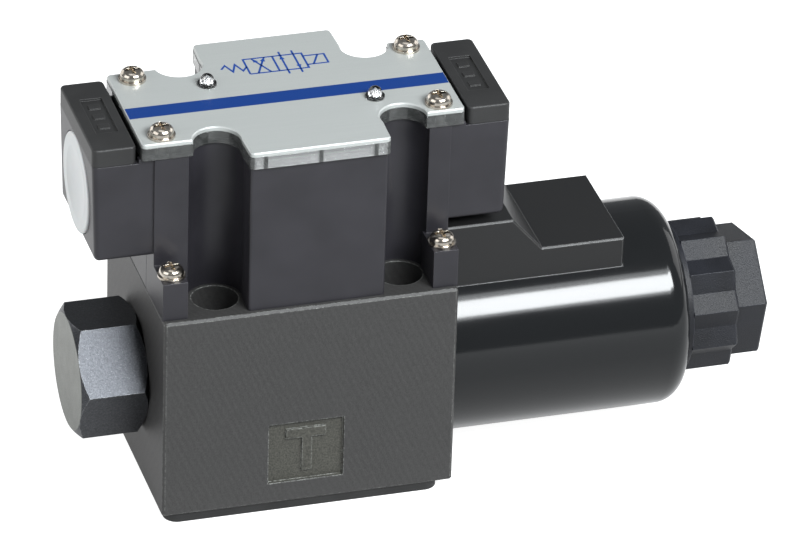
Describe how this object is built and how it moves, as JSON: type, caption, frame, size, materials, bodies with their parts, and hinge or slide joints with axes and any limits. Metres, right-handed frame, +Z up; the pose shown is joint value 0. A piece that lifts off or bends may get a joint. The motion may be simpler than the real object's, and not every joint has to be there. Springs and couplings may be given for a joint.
{
  "type": "solenoid directional valve",
  "caption": "Size 03 directional control valve: iron body with sliding spool, one wet-armature solenoid, spring return and a central terminal box.",
  "frame": {"origin": "on the mounting face, where the line through ports P and T crosses the line through ports A and B", "axes": "+X towards the solenoid, -Y towards port T (the front), +Z up from the mounting face"},
  "size_m": [0.1523, 0.0494, 0.0906],
  "materials": {
    "cast_iron": "phosphated grey iron, fine ground texture",
    "black_oxide": "black oxide",
    "seal_plate": "blackened sheet",
    "spool_steel": "ground and hardened",
    "spring_steel": "patented wire",
    "core_steel": "zinc plated",
    "brass": "bare",
    "copper": "enamelled winding wire",
    "coil_plastic": "black overmould, glossy",
    "bobbin_plastic": "glass filled nylon",
    "nut_plastic": "black moulded, fine grain",
    "box_plastic": "black moulded, satin",
    "cap_plastic": "black moulded, satin",
    "clear_plastic": "clear polycarbonate",
    "lamp_lens": "clear moulded lens",
    "nameplate": "satin silver with one blue stripe",
    "screw_nickel": "nickel plated",
    "white_plastic": "white polyethylene",
    "rubber": "nitrile",
    "board": "solder mask",
    "terminal_plastic": "light grey nylon"
  },
  "bodies": {
    "valve": {"valve_body": "cast_iron", "seal_plate": "seal_plate", "port_o_rings": "rubber", "return_spring": "spring_steel", "end_plug": "black_oxide", "end_plug_o_ring": "rubber", "pole_piece": "core_steel", "pole_o_ring": "rubber", "core_tube": "core_steel", "coil_housing": "coil_plastic", "coil_contacts": "brass", "flux_washers": "core_steel", "flux_sleeve": "core_steel", "coil_bobbin": "bobbin_plastic", "coil_winding": "copper", "coil_nut": "nut_plastic", "nut_o_ring": "rubber", "terminal_box": "box_plastic", "box_seal": "rubber", "box_screws": "screw_nickel", "socket_blank": "box_plastic", "conduit_plug": "white_plastic", "terminal_block": "terminal_plastic", "terminal_screws": "brass", "earth_screw": "brass", "circuit_board": "board", "board_screws": "core_steel", "indicator_lamps": "lamp_lens", "cover_gasket": "rubber", "lamp_cover": "clear_plastic", "nameplate": "nameplate", "cover_screws": "screw_nickel", "left_end_cap": "cap_plastic", "right_end_cap": "cap_plastic"},
    "spool_train": {"spool": "spool_steel", "spring_seat": "core_steel"},
    "armature_train": {"armature": "core_steel", "armature_shim": "brass", "push_pin": "spool_steel"},
    "override_train": {"override_pin": "brass", "override_o_ring": "rubber"}
  },
  "joints": [
    {"name": "spool_shift", "type": "slide", "parent": "valve", "child": "spool_train", "axis": [-1, 0, 0], "range_m": [0, 0.003], "stiffness_N_per_m": 4000, "springref_m": -0.004, "deforming": ["return_spring"]},
    {"name": "armature_stroke", "type": "slide", "parent": "valve", "child": "armature_train", "axis": [-1, 0, 0], "range_m": [0, 0.003]},
    {"name": "override_press", "type": "slide", "parent": "valve", "child": "override_train", "axis": [-1, 0, 0], "range_m": [0, 0.003]}
  ],
  "couplings": [
    {"joint": "armature_stroke", "follows": "spool_shift", "ratio": 1},
    {"joint": "override_press", "follows": "spool_shift", "ratio": 1}
  ]
}
